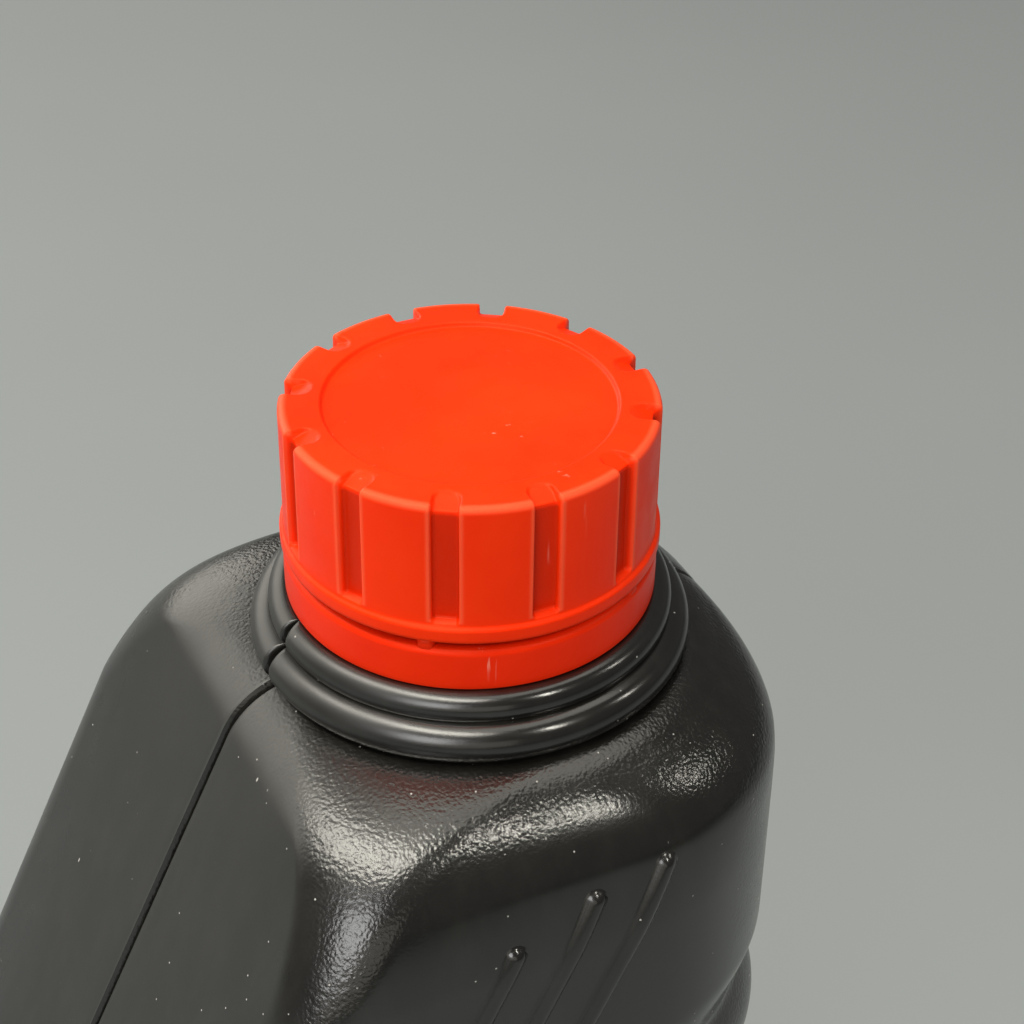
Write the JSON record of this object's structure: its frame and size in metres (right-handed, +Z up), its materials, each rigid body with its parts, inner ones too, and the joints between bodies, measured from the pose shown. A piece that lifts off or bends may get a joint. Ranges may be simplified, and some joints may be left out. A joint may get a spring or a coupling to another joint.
{
  "type": "oil bottle",
  "caption": "Black blow-moulded oil bottle with an offset neck, a slanted side, a ribbed grip side and a fluted red screw cap above a tamper band.",
  "frame": {"origin": "on the ground plane, under the middle of the overall box", "axes": "+Z up along the neck, +X towards the ribbed grip side, -Y out of the front face"},
  "size_m": [0.1, 0.071, 0.2281],
  "materials": {
    "black_shell": "satin black polyethylene, finely pebbled on the shoulder",
    "red_cap": "satin orange-red polypropylene",
    "red_band": "satin orange-red polypropylene with light scuffs",
    "liner_foam": "matte foamed polyethylene"
  },
  "bodies": {
    "bottle": {"bottle": "black_shell", "tamper_band": "red_band"},
    "liner": {"cap_liner": "liner_foam"},
    "cap": {"screw_cap": "red_cap"}
  },
  "joints": [
    {"name": "cap_lift", "type": "slide", "parent": "bottle", "child": "liner", "axis": [0, 0, 1], "range_m": [0, 0.00701]},
    {"name": "cap_turn", "type": "hinge", "parent": "liner", "child": "cap", "pos_m": [0.0185, 0, 0.22], "axis": [0, 0, 1], "range_deg": [0, 630]}
  ],
  "couplings": [
    {"joint": "cap_lift", "follows": "cap_turn", "m_per_rad": 0.00063662}
  ]
}
